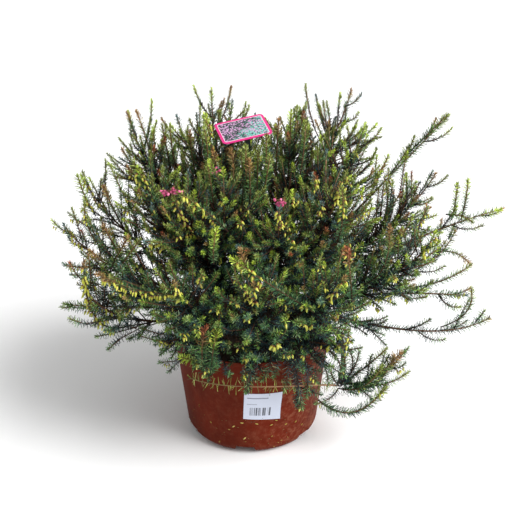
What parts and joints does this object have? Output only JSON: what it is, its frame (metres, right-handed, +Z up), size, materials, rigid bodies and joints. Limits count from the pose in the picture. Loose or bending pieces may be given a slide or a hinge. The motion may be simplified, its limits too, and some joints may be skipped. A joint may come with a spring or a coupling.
{
  "type": "potted darley dale heath",
  "caption": "Bushy evergreen heath with needle leaves, flower buds and open bells in a round plastic nursery pot, with a picture label on a stake and a price sticker.",
  "frame": {"origin": "middle of the pot's underside, on the level it stands on", "axes": "+Z up along the pot's axis, -Y towards the front, the side with the sticker, and +X to the right seen from the front"},
  "size_m": [0.5322, 0.4036, 0.4233],
  "materials": {
    "pot": "satin, terracotta brown",
    "soil": "damp dark peat and bark crumbs",
    "bark": "rough brown bark",
    "leaf": "waxy dark green needles, tips yellow-green and bronze",
    "bloom": "soft pink bells",
    "label": "printed plastic card, pink border round a picture of pink sprigs",
    "paper": "matt white paper with plain grey bars"
  },
  "bodies": {
    "root": {"bloom_left": "bloom", "bloom_middle": "bloom", "label": "label", "limb_back_left": "bark", "limb_back_right": "bark", "limb_front_left": "bark", "limb_front_right": "bark", "limb_hanging": "bark", "limb_left": "bark", "limb_right": "bark", "limb_top_back": "bark", "limb_top_front": "bark", "limb_top_left": "bark", "pot": "pot", "soil": "soil", "spray_back_left_1": "leaf", "spray_back_left_2": "leaf", "spray_back_left_3": "leaf", "spray_back_left_4": "leaf", "spray_back_right_1": "leaf", "spray_back_right_2": "leaf", "spray_back_right_3": "leaf", "spray_front_left_1": "leaf", "spray_front_left_2": "leaf", "spray_front_left_3": "leaf", "spray_front_left_4": "leaf", "spray_front_left_5": "leaf", "spray_front_right_1": "leaf", "spray_front_right_2": "leaf", "spray_front_right_3": "leaf", "spray_front_right_4": "leaf", "spray_front_right_5": "leaf", "spray_front_right_6": "leaf", "spray_hanging_1": "leaf", "spray_hanging_2": "leaf", "spray_left_1": "leaf", "spray_left_2": "leaf", "spray_left_3": "leaf", "spray_left_4": "leaf", "spray_left_5": "leaf", "spray_right_1": "leaf", "spray_right_2": "leaf", "spray_right_3": "leaf", "spray_right_4": "leaf", "spray_right_5": "leaf", "spray_right_6": "leaf", "spray_top_back_1": "leaf", "spray_top_back_2": "leaf", "spray_top_back_3": "leaf", "spray_top_back_4": "leaf", "spray_top_front_1": "leaf", "spray_top_front_2": "leaf", "spray_top_front_3": "leaf", "spray_top_front_4": "leaf", "spray_top_left_1": "leaf", "spray_top_left_2": "leaf", "spray_top_left_3": "leaf", "spray_top_left_4": "leaf", "spray_top_left_5": "leaf", "sticker": "paper"}
  },
  "joints": []
}
